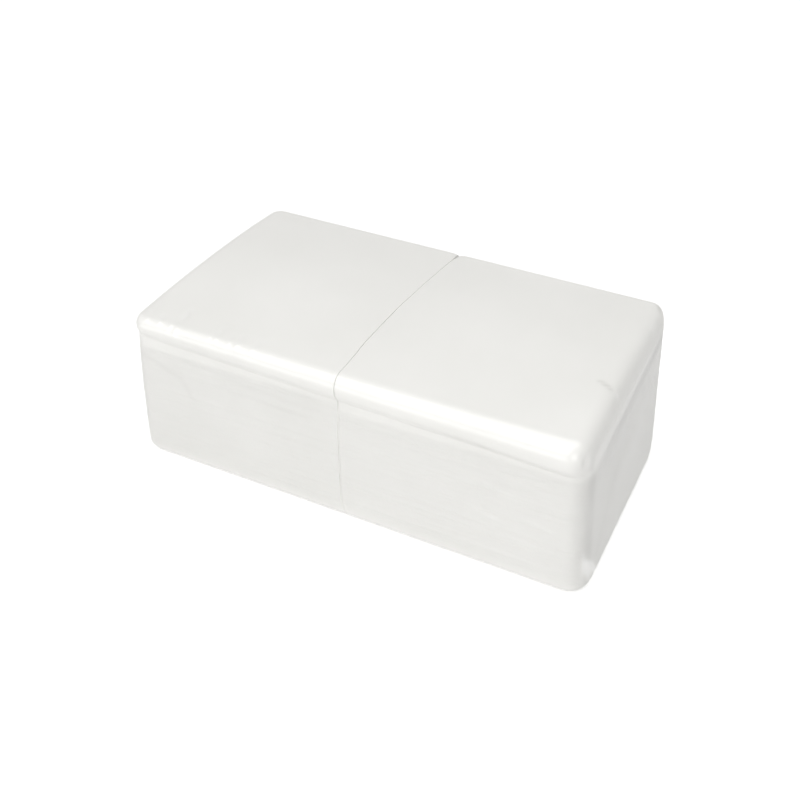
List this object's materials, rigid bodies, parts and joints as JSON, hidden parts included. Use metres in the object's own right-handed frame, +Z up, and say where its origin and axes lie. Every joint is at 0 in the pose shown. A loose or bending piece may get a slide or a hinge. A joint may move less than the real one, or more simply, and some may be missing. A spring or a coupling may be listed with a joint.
{
  "type": "wrapped pack of paper napkins",
  "caption": "Clear film pack of plain white folded paper napkins in stacks set side by side, with rounded edges and folded ends.",
  "frame": {"origin": "middle of the pack's underside, at the height it rests on", "axes": "+X along the pack's length, -Y towards the side with the overhanging rolled top edge, +Z up"},
  "size_m": [0.2388, 0.1314, 0.088],
  "materials": {
    "clear_film": "clear, glossy, thin",
    "napkin_paper": "matte, soft crepe tissue"
  },
  "bodies": {
    "root": {"film_wrap": "clear_film", "napkin_stack_left": "napkin_paper", "napkin_stack_right": "napkin_paper"}
  },
  "joints": []
}
